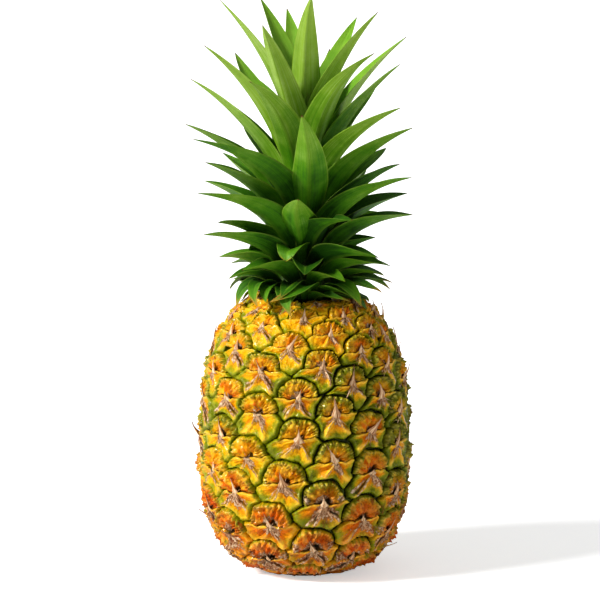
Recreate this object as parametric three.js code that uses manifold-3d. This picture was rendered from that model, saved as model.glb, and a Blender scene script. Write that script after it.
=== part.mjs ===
// A pineapple: one fruit with the stub of its cut stalk, and a crown of channelled leaves on a
// short stem. Millimetres, +Z up, front towards -Y. The origin is the centre of the flat ring
// that the fruit stands on.
import * as THREE from "three";
import { mergeVertices } from "three/addons/utils/BufferGeometryUtils.js";
import Module from "manifold-3d";

const wasm = await Module();
wasm.setup();

// Fruit: two superellipse quarters of revolution that meet at the widest circle.
const FRUIT_RADIUS = 62;
const WIDEST_Z = 75;
const FRUIT_TOP = 165; // the flat place that the crown grows from
const LOWER_DEPTH = 76.5; // from the widest circle to where the lower curve would close
const UPPER_DEPTH = 95; // the same for the upper curve
const LOWER_SQUARENESS = 2.9;
const UPPER_SQUARENESS = 2.7;
const FRUIT_SIDES = 48;
const LOWER_STEPS = 9;
const UPPER_STEPS = 10;

// Recess in the base, and the cut stalk in it, whose cut face is level with the resting ring.
const RECESS_RADIUS = 13;
const RECESS_DEPTH = 7;
const STALK_RADIUS = 10;
const STALK_SIDES = 20;
const EDGE = 1; // chamfer at the recess's mouth and round the cut face

// Crown stem, a blunt cone that carries every leaf.
const STEM_RADIUS = 17;
const STEM_TIP_RADIUS = 5;
const STEM_BLUNTNESS = 4; // height of the rounding at its tip
const STEM_HEIGHT = 62;
const STEM_SIDES = 24;
const GAP = 0.3; // left between pieces that touch

// Leaves, numbered upwards from the lowest long one. Each is one golden angle round from the last.
const FIRST_LEAF = 10;
const LAST_LEAF = 71;
const MISSING_LEAVES = [21, 23, 41, 51, 52];
const FIRST_AZIMUTH = -96.6; // of leaf 0, in degrees to the right of the front
const GOLDEN_ANGLE = 137.508;
const LEAF_STATIONS = 8;
const STATION_CROWDING = 1.25; // how far the stations crowd towards the foot of a leaf
const KEEL_THICKNESS = 1.8;
const MARGIN_THICKNESS = 0.7;
const CHANNEL_DEPTH = 0.45; // rise of the margins over the keel, as a share of the half width
const STEM_COVER = 0.5; // how far a leaf's foot starts inside the stem before it is trimmed
const FOOT_WIDTH = 0.42; // as a share of the full width
const FULL_WIDTH_AT = 0.45; // as a share of the length
const TAPER = 3.3; // power of the long point: higher is blunter
const LEAST_THINNING = 0.15; // keeps a leaf's thickness from running out before its tip

// Where the roots sit. The share u runs from 0 for leaf 0 to 1 for the last leaf.
const ROOT_INWARDS = 13.5; // how much nearer the axis the last root is
const ROOT_LIFT = 2.5; // of leaf 0 over the fruit
const ROOT_CLIMB = 55; // from leaf 0 to the last
const ROOT_CROWDING = 1.2;

// Where the tips reach.
const TIP_RADIUS = 47; // of leaf 0 and of the last leaf
const TIP_SWELL = 28; // added to the radius between them
const TIP_SKEW = 1.6; // moves the widest circle of tips up the crown
const TIP_HEIGHT = 168.6; // of leaf 0
const TIP_CLIMB = 101.3;
const TIP_CLIMB_GROWTH = 79.9;

// How wide and how arched they are.
const FIRST_WIDTH = 15;
const WIDTH_GAIN = 8;
const WIDTH_GAIN_TO = 0.3;
const WIDTH_LOSS = 3.5;
const WIDTH_LOSS_FROM = 0.6;
const LEAST_BOW = 0.1; // rise of the arch over the chord, as a share of it
const EXTRA_BOW = 0.05; // of leaf 0

// How single leaves stand off the rule: [sweep in degrees, reach in mm, rise in mm, bow].
const LEANING = {
  10: [-9, 5, 2], 12: [3, 3, 0], 13: [-2, -2, -2], 15: [-1, 0, -8], 17: [1, -14, 2],
  18: [-11, 10, 6], 20: [10, 4, -9], 22: [5, -3, 1], 25: [4, 5, 2], 26: [6, -8, -5],
  28: [11, 2, -2], 29: [-12, -6, -6], 30: [2, -5, -2], 31: [-15, 9, 4], 33: [10, 6, 8],
  34: [-7, -10, -4], 35: [14, -8, 0], 36: [4, 0, -8, -0.1], 37: [-10, -8, -8], 38: [-9, -13, 0],
  39: [4, -3, 1], 42: [-14, -14, -12], 43: [16, -14, -12], 44: [-23, 10, 3], 46: [-1, 0, 2],
  47: [3, -3, -2], 48: [12, -10, -6], 49: [-7, 0, 5, -0.12], 50: [-12, -12, -20], 54: [9, 4, -9],
  55: [1, -3, -3], 56: [12, -8, -12], 57: [-12, 2, -2], 58: [0, -8, -18], 59: [-5, -6, -3],
  60: [2, -1, 5], 61: [11, -1, -11], 62: [18, 6, -3], 63: [-18, 0, -18], 64: [-1, 2, -8],
  65: [9, -2, 2], 66: [3, 0, -3], 67: [1, 0, 1], 68: [8, -2, 2], 69: [4, -3, -17],
  70: [7, 0, 1], 71: [0, -6, -12],
};

const RIND = { color: 0xd9962a, roughness: 0.55, metalness: 0 };
const LEAF_GREEN = { color: 0x4f8a1f, roughness: 0.42, metalness: 0 };
const STEM_GREEN = { color: 0x9fb36a, roughness: 0.6, metalness: 0 };
const CUT_STALK = { color: 0xa98a57, roughness: 0.85, metalness: 0 };

const radians = THREE.MathUtils.degToRad;
const step = THREE.MathUtils.smoothstep;

// A closed geometry as a solid: equal corners are merged, and slivers with two equal corners go.
function solidOf(geometry) {
  const bare = new THREE.BufferGeometry();
  bare.setAttribute("position", geometry.getAttribute("position").clone());
  bare.setIndex(geometry.index);
  const merged = mergeVertices(bare, 1e-3);
  const corners = merged.index.array;
  const kept = [];
  for (let i = 0; i < corners.length; i += 3) {
    const [a, b, c] = corners.subarray(i, i + 3);
    if (a !== b && b !== c && c !== a) kept.push(a, b, c);
  }
  return new wasm.Manifold(
    new wasm.Mesh({
      numProp: 3,
      vertProperties: merged.attributes.position.array,
      triVerts: new Uint32Array(kept),
    }),
  );
}

function geometryOf(solid) {
  const mesh = solid.getMesh();
  const geometry = new THREE.BufferGeometry();
  geometry.setAttribute("position", new THREE.BufferAttribute(mesh.vertProperties, 3));
  geometry.setIndex(new THREE.BufferAttribute(mesh.triVerts, 1));
  geometry.computeVertexNormals();
  return geometry;
}

function named(name, geometry, finish) {
  const mesh = new THREE.Mesh(geometry, new THREE.MeshStandardMaterial(finish));
  mesh.name = name;
  return mesh;
}

// A profile of [radius, height] points turned round +Z. It runs from the axis outwards and up.
function turned(profile, sides) {
  const points = profile.map(([r, z]) => new THREE.Vector2(r, z));
  return new THREE.LatheGeometry(points, sides).rotateX(Math.PI / 2);
}

// Outer radius of the fruit at a height.
function fruitRadius(z) {
  const lower = z < WIDEST_Z;
  const away = Math.abs(z - WIDEST_Z) / (lower ? LOWER_DEPTH : UPPER_DEPTH);
  const power = lower ? LOWER_SQUARENESS : UPPER_SQUARENESS;
  return FRUIT_RADIUS * (1 - away ** power) ** (1 / power);
}

// Heights crowd towards the ends, where the outline turns fastest.
function fruitHeights() {
  const lower = Array.from({ length: LOWER_STEPS }, (_, i) => {
    return WIDEST_Z * (1 - Math.cos((i / LOWER_STEPS) * (Math.PI / 2)));
  });
  const upper = Array.from({ length: UPPER_STEPS + 1 }, (_, i) => {
    return WIDEST_Z + (FRUIT_TOP - WIDEST_Z) * Math.sin((i / UPPER_STEPS) * (Math.PI / 2));
  });
  return [...lower, ...upper];
}

function fruitBody() {
  const recess = [
    [0, RECESS_DEPTH],
    [RECESS_RADIUS - EDGE, RECESS_DEPTH],
    [RECESS_RADIUS + EDGE, 0],
  ];
  const outside = fruitHeights().map((z) => [fruitRadius(z), z]);
  const profile = [...recess, ...outside, [0, FRUIT_TOP]];
  return named("fruit_body", turned(profile, FRUIT_SIDES), RIND);
}

function stalkStub() {
  const top = RECESS_DEPTH - GAP;
  const profile = [
    [0, 0],
    [STALK_RADIUS - EDGE, 0],
    [STALK_RADIUS, EDGE],
    [STALK_RADIUS, top],
    [0, top],
  ];
  return named("stalk_stub", turned(profile, STALK_SIDES), CUT_STALK);
}

// The stem's surface, grown outwards by a margin when it is used to trim the leaves.
function stemGeometry(grow) {
  const foot = FRUIT_TOP + GAP;
  const top = foot + STEM_HEIGHT;
  const profile = [
    [0, foot - grow],
    [STEM_RADIUS + grow, foot - grow],
    [STEM_TIP_RADIUS + grow, top - STEM_BLUNTNESS],
    [STEM_TIP_RADIUS - STEM_BLUNTNESS / 2 + grow, top + grow],
    [0, top + grow],
  ];
  return turned(profile, STEM_SIDES);
}

// Where leaf number k grows from and reaches to, by the rule and its own lean.
function leafPlan(k) {
  const u = k / LAST_LEAF;
  const [sweep, reach, rise, arch = 0] = LEANING[k] ?? [0, 0, 0];
  return {
    azimuth: FIRST_AZIMUTH - GOLDEN_ANGLE * k,
    sweep,
    root: new THREE.Vector2(
      STEM_RADIUS - STEM_COVER - ROOT_INWARDS * u,
      FRUIT_TOP + ROOT_LIFT + ROOT_CLIMB * u ** ROOT_CROWDING,
    ),
    tip: new THREE.Vector2(
      TIP_RADIUS + TIP_SWELL * Math.sin(Math.PI * u ** TIP_SKEW) + reach,
      TIP_HEIGHT + TIP_CLIMB * u + TIP_CLIMB_GROWTH * u * u + rise,
    ),
    width: FIRST_WIDTH + WIDTH_GAIN * step(u, 0, WIDTH_GAIN_TO) - WIDTH_LOSS * step(u, WIDTH_LOSS_FROM, 1),
    bow: LEAST_BOW + EXTRA_BOW * (1 - u) ** 2 + arch,
  };
}

// The leaf's midline in its own upright plane, as radius and height.
function midline(plan) {
  const chord = plan.tip.clone().sub(plan.root);
  const upwards = new THREE.Vector2(-chord.y, chord.x);
  const control = plan.root.clone().addScaledVector(chord, 0.5);
  control.addScaledVector(upwards, 2 * plan.bow);
  return new THREE.QuadraticBezierCurve(plan.root, control, plan.tip);
}

// Share of the full width at t along the leaf: a narrow foot, then full, then a long point.
function outline(t) {
  return (FOOT_WIDTH + (1 - FOOT_WIDTH) * step(t, 0, FULL_WIDTH_AT)) * (1 - t ** TAPER);
}

function placeOnPlan(plan, curve, t) {
  const azimuth = radians(plan.azimuth + plan.sweep * t * t);
  const { x: r, y: z } = curve.getPoint(t);
  return new THREE.Vector3(r * Math.sin(azimuth), -r * Math.cos(azimuth), z);
}

// The six corners of a leaf's section: a shallow V, thick at the keel and thin at the margins.
function section(plan, curve, t, grow) {
  const nearby = 0.01;
  const centre = placeOnPlan(plan, curve, t);
  const ahead = placeOnPlan(plan, curve, Math.min(1, t + nearby));
  const behind = placeOnPlan(plan, curve, Math.max(0, t - nearby));
  const along = ahead.sub(behind).normalize();
  const azimuth = radians(plan.azimuth + plan.sweep * t * t);
  const side = new THREE.Vector3(-Math.cos(azimuth), -Math.sin(azimuth), 0);
  side.addScaledVector(along, -side.dot(along)).normalize();
  const inwards = new THREE.Vector3().crossVectors(side, along).normalize();
  const share = outline(t);
  const half = (plan.width / 2) * share + grow;
  const edge = CHANNEL_DEPTH * half;
  const thin = Math.min(1, LEAST_THINNING + share);
  const corner = (across, up) => centre.clone().addScaledVector(side, across).addScaledVector(inwards, up);
  const margin = (MARGIN_THICKNESS * thin) / 2 + grow;
  const keel = (KEEL_THICKNESS * thin) / 2 + grow;
  return [
    corner(-half, edge - margin),
    corner(0, -keel),
    corner(half, edge - margin),
    corner(half, edge + margin),
    corner(0, keel),
    corner(-half, edge + margin),
  ];
}

// A leaf as a closed loft: rings of six corners, a flat foot and a pointed tip.
function leafGeometry(plan, grow) {
  const curve = midline(plan);
  const corners = [];
  const faces = [];
  const around = 6;
  for (let s = 0; s < LEAF_STATIONS; s += 1) {
    const t = 1 - (1 - s / LEAF_STATIONS) ** STATION_CROWDING;
    corners.push(...section(plan, curve, t, grow));
  }
  corners.push(placeOnPlan(plan, curve, 1));
  const tip = corners.length - 1;
  for (let i = 0; i < around; i += 1) {
    const j = (i + 1) % around;
    for (let s = 0; s + 1 < LEAF_STATIONS; s += 1) {
      const low = s * around;
      const high = low + around;
      faces.push(low + i, high + j, low + j, low + i, high + i, high + j);
    }
    faces.push(tip - around + i, tip, tip - around + j);
  }
  faces.push(0, 4, 5, 0, 1, 4, 1, 3, 4, 1, 2, 3);
  const geometry = new THREE.BufferGeometry().setFromPoints(corners);
  geometry.setIndex(faces);
  return geometry;
}

function largest(solid) {
  const pieces = solid.decompose();
  return pieces.reduce((best, piece) => (piece.volume() > best.volume() ? piece : best));
}

// Every leaf, trimmed at the stem and wherever a leaf above it would run through it.
function crownLeaves() {
  const numbers = [];
  for (let k = FIRST_LEAF; k <= LAST_LEAF; k += 1) {
    if (!MISSING_LEAVES.includes(k)) numbers.push(k);
  }
  const stem = solidOf(stemGeometry(GAP));
  const plain = numbers.map((k) => solidOf(leafGeometry(leafPlan(k), 0)));
  const grown = numbers.map((k) => solidOf(leafGeometry(leafPlan(k), GAP)));
  return numbers.map((k, i) => {
    let solid = plain[i].subtract(stem);
    for (let above = i + 1; above < numbers.length; above += 1) {
      if (solid.intersect(grown[above]).volume() > 0) solid = solid.subtract(grown[above]);
    }
    const name = "leaf_" + String(k).padStart(2, "0");
    return named(name, geometryOf(largest(solid)), LEAF_GREEN);
  });
}

const pineapple = new THREE.Group();
pineapple.add(fruitBody(), stalkStub(), named("crown_stem", stemGeometry(0), STEM_GREEN));
const crown = new THREE.Group();
crown.add(...crownLeaves());
pineapple.add(crown);

export default pineapple;
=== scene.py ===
"""Looks of a pineapple that stands on its own base: the rind with its eyes, the dry bract tips,
the crown of leaves, its stem and the cut stalk.

Sizes are in millimetres and turn into metres when a mesh is made. +Z is up and the front is
towards -Y. A place on the fruit is an angle round the axis, to the right of the front, and a
length along the outline from the foot."""

import functools
import math

import bpy
import numpy as np
from mathutils import Matrix, Vector


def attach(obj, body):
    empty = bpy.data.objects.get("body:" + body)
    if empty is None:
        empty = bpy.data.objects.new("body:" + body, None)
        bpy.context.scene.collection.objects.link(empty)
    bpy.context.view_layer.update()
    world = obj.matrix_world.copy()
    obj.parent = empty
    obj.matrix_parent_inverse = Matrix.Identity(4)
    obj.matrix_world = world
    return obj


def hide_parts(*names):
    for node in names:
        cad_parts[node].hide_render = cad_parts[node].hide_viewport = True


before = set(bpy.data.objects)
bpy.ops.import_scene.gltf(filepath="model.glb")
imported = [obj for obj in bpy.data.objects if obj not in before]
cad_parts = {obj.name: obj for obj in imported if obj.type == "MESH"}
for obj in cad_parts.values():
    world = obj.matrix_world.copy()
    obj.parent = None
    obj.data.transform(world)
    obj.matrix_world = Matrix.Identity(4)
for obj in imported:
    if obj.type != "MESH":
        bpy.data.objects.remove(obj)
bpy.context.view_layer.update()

MM = 0.001
TURN = 2 * math.pi
GOLDEN = math.radians(137.508)

# Fruit outline, as in the CAD model.
FRUIT_RADIUS = 62
WIDEST_Z = 75
FRUIT_TOP = 165
LOWER_DEPTH = 76.5
UPPER_DEPTH = 95
LOWER_SQUARENESS = 2.9
UPPER_SQUARENESS = 2.7
RECESS_RADIUS = 13
RECESS_DEPTH = 7

# Crown, as in the CAD model.
STEM_RADIUS = 17
LAST_LEAF = 71
FIRST_LEAF = 10
SHORT_LEAVES = (21, 23)
MISSING_LEAVES = (*SHORT_LEAVES, 41, 51, 52)
FIRST_AZIMUTH = -96.6
# How single leaves stand off the rule, as (degrees to the right, mm outwards, mm upwards) and, for
# two of them, a flatter arch.
LEANING = {
    10: (-9, 5, 2), 12: (3, 3, 0), 13: (-2, -2, -2), 15: (-1, 0, -8), 17: (1, -14, 2),
    18: (-11, 10, 6), 20: (10, 4, -9), 22: (5, -3, 1), 25: (4, 5, 2), 26: (6, -8, -5),
    28: (11, 2, -2), 29: (-12, -6, -6), 30: (2, -5, -2), 31: (-15, 9, 4), 33: (10, 6, 8),
    34: (-7, -10, -4), 35: (14, -8, 0), 36: (4, 0, -8, -0.1), 37: (-10, -8, -8), 38: (-9, -13, 0),
    39: (4, -3, 1), 42: (-14, -14, -12), 43: (16, -14, -12), 44: (-23, 10, 3), 46: (-1, 0, 2),
    47: (3, -3, -2), 48: (12, -10, -6), 49: (-7, 0, 5, -0.12), 50: (-12, -12, -20), 54: (9, 4, -9),
    55: (1, -3, -3), 56: (12, -8, -12), 57: (-12, 2, -2), 58: (0, -8, -18), 59: (-5, -6, -3),
    60: (2, -1, 5), 61: (11, -1, -11), 62: (18, 6, -3), 63: (-18, 0, -18), 64: (-1, 2, -8),
    65: (9, -2, 2), 66: (3, 0, -3), 67: (1, 0, 1), 68: (8, -2, 2), 69: (4, -3, -17),
    70: (7, 0, 1), 71: (0, -6, -12),
    -11: (-2, -2, 0), -4: (0, 2, 4), -3: (-6, 0, 2), 0: (-4, 2, -3), 2: (-5, 1, -1),
    4: (-1, 2, 5), 5: (0, 2, 4), 7: (7, 2, 2), 9: (-1, 3, -2),
}

# Eyes, numbered upwards along one golden-angle spiral. MIDDLE_EYE sits half way up the fruit.
EYE_NUMBERS = range(2, 120)
MIDDLE_EYE = 66
EYE_REACH = 60  # numbers from the middle eye that these rules are scaled to, as powers of a share
SPIRAL_RULE = (0.2, -17.8, 15.6, 1.8)  # degrees off the golden angle
SPIRAL_SWAY = math.radians(3.3)  # round the fruit, as the spiral leans a little
LENGTH_RULE = (130.6, 95.5, -16.9, 4.5)
TILT_RULE = (3.2, -8.6)  # how much higher the rows stand on the fruit's right
RISE_RULE = (95.5, -33.8, 13.5)
# How single eyes stand off the rules, as (degrees to the right, mm upwards).
EYE_NUDGES = {
    6: (-3, -1), 11: (6, -1), 14: (-4, 2), 16: (4, 0), 19: (0, -5), 22: (-5, 4), 24: (2, -1),
    27: (-2, -2), 29: (1, -2), 32: (1, -2), 35: (0, 3), 37: (2, 2), 40: (2, -2), 42: (-5, 4),
    43: (4, -1), 45: (2, -2), 48: (3, -1), 50: (-5, 3), 53: (4, 0), 55: (-7, 1), 56: (6, -4),
    58: (-4, 3), 61: (2, 2), 63: (-2, 2), 66: (-4, 2), 69: (2, -4), 71: (-1, 0), 74: (-6, 5),
    76: (-2, 0), 77: (5, -4), 79: (2, 0), 82: (-8, 4), 87: (1, 0), 92: (-1, 1), 95: (-3, 1),
    97: (6, -4), 100: (-1, 1), 105: (4, -4),
}
SMALLEST_EYE_CIRCLE = 21  # radius round the axis below which no eye grows
BROAD_EYE = 14  # the size that the dry tips and the relief are drawn for

chance = np.random.default_rng(11)


def smooth(x, start=0.0, end=1.0):
    """0 below start, 1 above end, and a soft step between."""
    x = np.clip((np.asarray(x, float) - start) / (end - start), 0, 1)
    return x * x * (3 - 2 * x)


def bump(x, centre, width):
    """A soft hump of height 1."""
    return np.exp(-(((np.asarray(x, float) - centre) / width) ** 2))


def powers(x, rule):
    return sum(factor * x**power for power, factor in enumerate(rule))


# ---------------------------------------------------------------- meshes


def new_object(name, data):
    made = bpy.data.objects.new(name, data)
    bpy.context.scene.collection.objects.link(made)
    return made


def new_piece(name, points, faces, material, values=None):
    """A mesh object from points in millimetres, with one number per point for each of values."""
    mesh = bpy.data.meshes.new(name)
    mesh.from_pydata((np.asarray(points, float) * MM).tolist(), [], faces)
    for key, numbers in (values or {}).items():
        attribute = mesh.attributes.new(key, "FLOAT", "POINT")
        attribute.data.foreach_set("value", np.asarray(numbers, np.float32))
    mesh.polygons.foreach_set("use_smooth", [True] * len(mesh.polygons))
    mesh.materials.append(material)
    mesh.update()
    return new_object(name, mesh)


def strip(first, second, start=0):
    """Quads between two rows of point numbers. start is the corner that each is written from, which
    settles the way it is cut in two."""
    first, second = list(map(int, first)), list(map(int, second))
    quads = [(a, b, d, c) for a, b, c, d in zip(first, first[1:], second, second[1:])]
    return [quad[start:] + quad[:start] for quad in quads]


def sheet_faces(rows, columns, pointed=False):
    """Faces of a closed sheet: rows by columns of points on its upper side, the same on its lower
    side and, if it is pointed, one more for its tip."""
    upper = np.arange(rows * columns).reshape(rows, columns)
    lower = upper + rows * columns
    faces = strip(lower[0], upper[0])
    for low, high in zip(range(rows - 1), range(1, rows)):
        faces += strip(upper[low], upper[high]) + strip(lower[high], lower[low])
    faces += strip(upper[:, 0], lower[:, 0], int(pointed))
    faces += strip(lower[:, -1], upper[:, -1], int(pointed))
    if not pointed:
        return faces + strip(upper[-1], lower[-1])
    rim = [*upper[-1], *lower[-1][::-1], upper[-1][0]]
    return faces + [(int(a), int(b), 2 * rows * columns) for a, b in zip(rim, rim[1:])]


def merged(name, bodies, material):
    """Many small bodies, each given as points, faces and values, as one mesh."""
    faces, count = [], 0
    for points, own, _ in bodies:
        faces += [tuple(i + count for i in face) for face in own]
        count += len(points)
    points = np.concatenate([body[0] for body in bodies])
    values = {key: np.concatenate([body[2][key] for body in bodies]) for key in bodies[0][2]}
    return new_piece(name, points, faces, material, values)


# ---------------------------------------------------------------- fruit surface

FOOT_STEPS, CURVE_STEPS, TOP_STEPS, OUTLINE_STEPS = 12, 300, 30, 900


def fruit_radius(z):
    lower = z < WIDEST_Z
    away = np.abs(z - WIDEST_Z) / np.where(lower, LOWER_DEPTH, UPPER_DEPTH)
    power = np.where(lower, LOWER_SQUARENESS, UPPER_SQUARENESS)
    return FRUIT_RADIUS * (1 - away**power) ** (1 / power)


def outline():
    """The fruit's outline as lengths along it, radii, heights and outward directions. It runs on
    inwards over the resting ring at the foot and over the flat top."""
    quarter = np.linspace(0, math.pi / 2, CURVE_STEPS)
    lower = WIDEST_Z * (1 - np.cos(quarter))
    upper = WIDEST_Z + (FRUIT_TOP - WIDEST_Z) * np.sin(quarter[1:])
    z = np.concatenate([lower, upper])
    r = fruit_radius(z)
    foot = np.linspace(RECESS_RADIUS, r[0], FOOT_STEPS)[:-1]
    top = np.linspace(r[-1], 0, TOP_STEPS)[1:]
    r = np.concatenate([foot, r, top])
    z = np.concatenate([np.zeros(len(foot)), z, np.full(len(top), float(FRUIT_TOP))])
    length = np.concatenate([[0], np.cumsum(np.hypot(np.diff(r), np.diff(z)))])
    length -= length[len(foot)]
    even = np.linspace(length[0], length[-1], OUTLINE_STEPS)
    r, z = np.interp(even, length, r), np.interp(even, length, z)
    out_r, out_z = np.gradient(z), -np.gradient(r)
    size = np.hypot(out_r, out_z)
    return even, r, z, out_r / size, out_z / size


LENGTHS, RADII, HEIGHTS, OUT_R, OUT_Z = outline()
EYE_SEAT = 1.2  # how far the eyes are set into the outline, so that their crowns reach it
FOOT_GAP = 0.3  # the eyes stop this far over the floor; only the core's flat foot rests on it


def circle_radius(length):
    return np.interp(length, LENGTHS, RADII)


def off_outline(length, height):
    """Radius and height over the floor of places that stand off the outline."""
    out_r, out_z = np.interp(length, LENGTHS, OUT_R), np.interp(length, LENGTHS, OUT_Z)
    return circle_radius(length) + height * out_r, np.interp(length, LENGTHS, HEIGHTS) + height * out_z


def on_fruit(angle, length, height):
    """The point a given height off the fruit's mean surface, never below the foot."""
    r, z = off_outline(length, height - EYE_SEAT)
    return np.stack([r * np.sin(angle), -r * np.cos(angle), np.maximum(z, FOOT_GAP)], -1)


# ---------------------------------------------------------------- eyes


def eye_places():
    """Number, angle, length along the outline and size of each eye."""
    rows = []
    for number in EYE_NUMBERS:
        m = (number - MIDDLE_EYE) / EYE_REACH
        spiral = math.radians(powers(m, SPIRAL_RULE)) - GOLDEN * (number - MIDDLE_EYE)
        angle = spiral
        for _ in range(6):  # the spiral sways round the fruit, so its angle settles in a few rounds
            angle = spiral - SPIRAL_SWAY * math.sin(angle)
        length = powers(m, LENGTH_RULE) + powers(m, TILT_RULE) * math.sin(angle)
        right, up = EYE_NUDGES.get(number, (0, 0))
        angle = (angle + math.radians(right) + math.pi) % TURN - math.pi
        length += up
        radius = float(circle_radius(length))
        if radius >= SMALLEST_EYE_CIRCLE:
            size = math.sqrt(2 * radius * (powers(m, RISE_RULE) / EYE_REACH))
            rows.append((number, angle, length, size))
    return np.array(rows).T


EYE, EYE_ANGLE, EYE_LENGTH, EYE_SIZE = eye_places()
EYES = len(EYE)
LOWNESS = np.clip((100 - EYE_LENGTH) / 80, 0, 1)  # 1 for the broad eyes near the foot

CAP_HALF_WIDTH = 0.88  # as shares of an eye's size
CAP_HEIGHT = 0.86
CAP_EXTRA_HEIGHT = 0.18  # of the lowest eyes
CAP_SQUARENESS = 2.4
LIP_RISE_RIGHT = 0.16 + 0.08 * chance.uniform(-1, 1, EYES)
LIP_RISE_LEFT = 0.02 + 0.07 * chance.uniform(-1, 1, EYES)
FACET_TURN = chance.uniform(0, TURN, (EYES, 2))


def cap_edge(eye, psi):
    """Distance from an eye's centre to the edge of its cap, in direction psi."""
    height = CAP_HEIGHT + CAP_EXTRA_HEIGHT * LOWNESS[eye]
    across = np.abs(np.cos(psi)) / CAP_HALF_WIDTH
    upwards = np.abs(np.sin(psi)) / height
    plain = (across**CAP_SQUARENESS + upwards**CAP_SQUARENESS) ** (-1 / CAP_SQUARENESS)
    facets = 0.03 * np.cos(5 * psi + FACET_TURN[eye, 0]) + 0.015 * np.cos(9 * psi + FACET_TURN[eye, 1])
    return plain * (1 + facets)


def across_turn(angle, other):
    """The angle from another one to this one, the short way round."""
    return (angle - other + math.pi) % TURN - math.pi


def belongs_to(angle, length, eyes):
    """For each point, the eye whose cap or bract holds it, and whether it is a cap."""
    turn = across_turn(angle[..., None], EYE_ANGLE[eyes])
    x = turn * circle_radius(length)[..., None] / EYE_SIZE[eyes]
    y = (length[..., None] - EYE_LENGTH[eyes]) / EYE_SIZE[eyes]
    lip = np.where(x > 0, LIP_RISE_RIGHT[eyes], LIP_RISE_LEFT[eyes]) * np.abs(x)
    inside = np.hypot(x, y) / cap_edge(eyes, np.arctan2(y, x))
    inside = np.where(y > lip, inside, 9)
    reach = np.hypot(x / 1.15, (y + 0.42) / 0.72) + 2.5 * np.maximum(y - lip, 0)
    is_cap = inside.min(-1) < 1
    return eyes[np.where(is_cap, inside.argmin(-1), reach.argmin(-1))], is_cap


NEIGHBOURS = 18  # the nearest eyes, itself included, that can bound a bract


def bract_edge(eye, psi):
    """Distance from an eye's centre to the edge of its bract: outwards until another eye begins."""
    steps = np.arange(0.02, 1.7, 0.0125)
    length = EYE_LENGTH[eye] + steps[:, None] * np.sin(psi) * EYE_SIZE[eye]
    x = steps[:, None] * np.cos(psi) * EYE_SIZE[eye]
    angle = EYE_ANGLE[eye] + x / np.maximum(circle_radius(length), 8)
    turn = across_turn(EYE_ANGLE, EYE_ANGLE[eye])
    away = np.hypot(turn * circle_radius(EYE_LENGTH[eye]), EYE_LENGTH - EYE_LENGTH[eye])
    owner, is_cap = belongs_to(angle, length, np.argsort(away)[:NEIGHBOURS])
    own = (owner == eye) & ~is_cap
    own[0] = True
    first_out = np.where(own.all(0), len(steps) - 1, own.argmin(0))
    edge = steps[np.maximum(first_out - 1, 0)]
    padded = np.concatenate([edge[:1], edge, edge[-1:]])
    return 0.25 * padded[:-2] + 0.5 * edge + 0.25 * padded[2:]


def even_along(psi, edge, columns):
    """Directions spaced evenly along an edge that is given as a distance for each direction."""
    walk = np.hypot(np.diff(edge * np.cos(psi)), np.diff(edge * np.sin(psi))) + 0.3 * np.abs(np.diff(psi))
    walked = np.concatenate([[0], np.cumsum(walk)])
    even = np.linspace(0, walked[-1], columns)
    return np.interp(even, walked, psi), np.interp(even, walked, edge)


FLESH_FLOOR = -4.2  # how deep the eyes' bodies reach under the outline


def fan_body(eye, t, psi, edge, height, crest_highlight, ripe, green, dry, crease):
    """A closed pillow of flesh, as a fan round the eye's centre. t and psi give its rows and columns,
    edge the distance to its rim, and height how far each point stands off the outline. The rest are
    masks for its material."""
    size, phase = EYE_SIZE[eye], FOLD_TURN[eye]
    jag = rim_beads(psi, phase) + 0.8 * lobes(psi, RIM_TEETH, phase[0])
    reach = t * edge * (1 + 0.012 * jag * smooth(t, 0.8, 1.0))
    x, y = reach * np.cos(psi), reach * np.sin(psi)
    y = y + (0.035 * np.sin(6.5 * x + phase[1]) + 0.02 * np.sin(15 * x + phase[2])) * bump(y, 0, 0.3)
    length = EYE_LENGTH[eye] + y * size
    angle = EYE_ANGLE[eye] + x * size / circle_radius(length)
    height = height * relief(eye)
    top = on_fruit(angle, length, height)
    rows, columns = height.shape
    grid = np.arange(1 - columns, 1 + (rows - 1) * columns).reshape(rows, columns)
    grid[0] = 0  # the fan's centre is one point
    grid, last = grid.tolist(), int(grid[-1, -1])
    faces = [(0, near, far) for near, far in zip(grid[1], grid[1][1:])]
    for row in range(1, rows - 1):
        faces += strip(grid[row + 1], grid[row], 1)
    rim = [(rows - 1, c) for c in range(columns)]
    rim += [(row, columns - 1) for row in range(rows - 2, 0, -1)] + [(0, 0)]
    rim += [(row, 0) for row in range(1, rows)]
    at = tuple(np.array(rim[:-1]).T)
    under = on_fruit(angle[at], length[at], np.full(len(rim) - 1, FLESH_FLOOR))
    base = [*range(last + 1, last + len(rim)), last + 1]
    faces += strip(base, [grid[row][c] for row, c in rim], 1)
    faces += [(last + len(rim), far, near) for near, far in zip(base, base[1:])]
    points = np.concatenate([top[0, :1], top[1:].reshape(-1, 3), under, under.mean(0)[None]])
    values = {
        "crest_highlight": np.clip(crest_highlight, 0, 1), "reach": t, "turn": psi / TURN, "ripe": np.clip(ripe, 0, 1),
        "green": np.clip(green, 0, 1.3), "dry": np.clip(dry, 0, 1), "crease": np.clip(crease, 0, 1),
        "mood": EYE_MOOD[eye, 0],
    }
    for key, mask in values.items():
        mask = np.broadcast_to(mask, height.shape)
        values[key] = np.concatenate([mask[0, :1], mask[1:].ravel(), mask[at], [0.0]])
    return points, faces, values


def side_green_and_shade(angle):
    """How green the fruit is at an angle, partly its own colour and partly painted shade away from the key
    light: most on its right side.
    """
    return 0.5 + 0.5 * np.sin(angle - 0.25)


def cracks(eye):
    """How open the cracks round an eye are, and how dark their painted shade is: most on the fruit's right,
    away from the key light, less at its top.
    """
    return smooth(np.sin(EYE_ANGLE[eye] + 0.15), -0.1, 0.5) * (1 - 0.5 * smooth(EYE_LENGTH[eye], 130, 180))


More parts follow.
